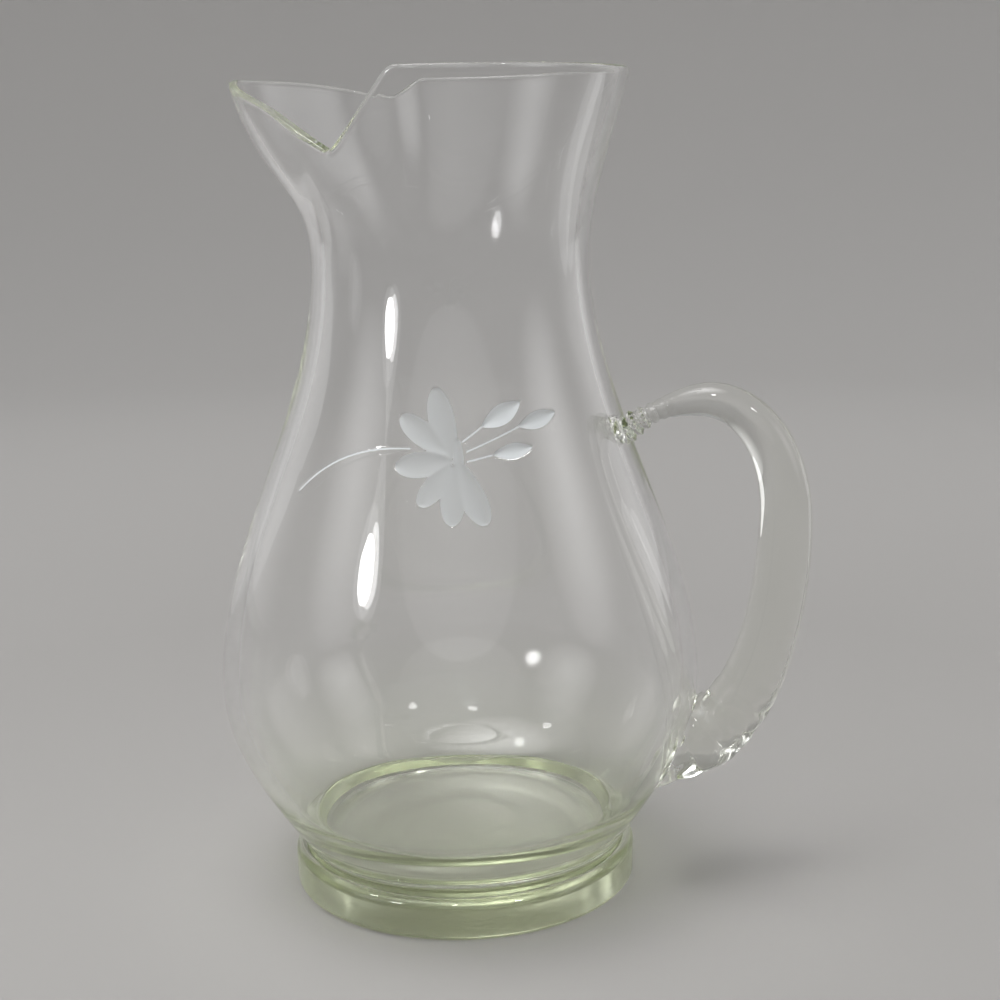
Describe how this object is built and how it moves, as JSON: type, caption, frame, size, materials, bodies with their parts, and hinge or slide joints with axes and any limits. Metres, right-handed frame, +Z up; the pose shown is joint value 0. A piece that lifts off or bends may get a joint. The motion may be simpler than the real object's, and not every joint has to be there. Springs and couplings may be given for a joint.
{
  "type": "glass pitcher",
  "caption": "Clear blown-glass pitcher with a pear-shaped bowl, waisted neck, pulled pouring lip, thick foot and applied rod handle, with a wheel-cut flower on one side.",
  "frame": {"origin": "centre of the foot's ground underside, on the body's axis", "axes": "+Z up along the body's axis, the lip towards -X, the handle towards +X"},
  "size_m": [0.176, 0.1436, 0.24],
  "materials": {
    "clear_glass": "fire-polished clear glass, with a matt wheel-cut flower on the bowl",
    "base_glass": "thick clear glass with a faint green tint, ground flat underneath"
  },
  "bodies": {
    "root": {"body": "clear_glass", "foot": "base_glass", "handle": "clear_glass"}
  },
  "joints": []
}
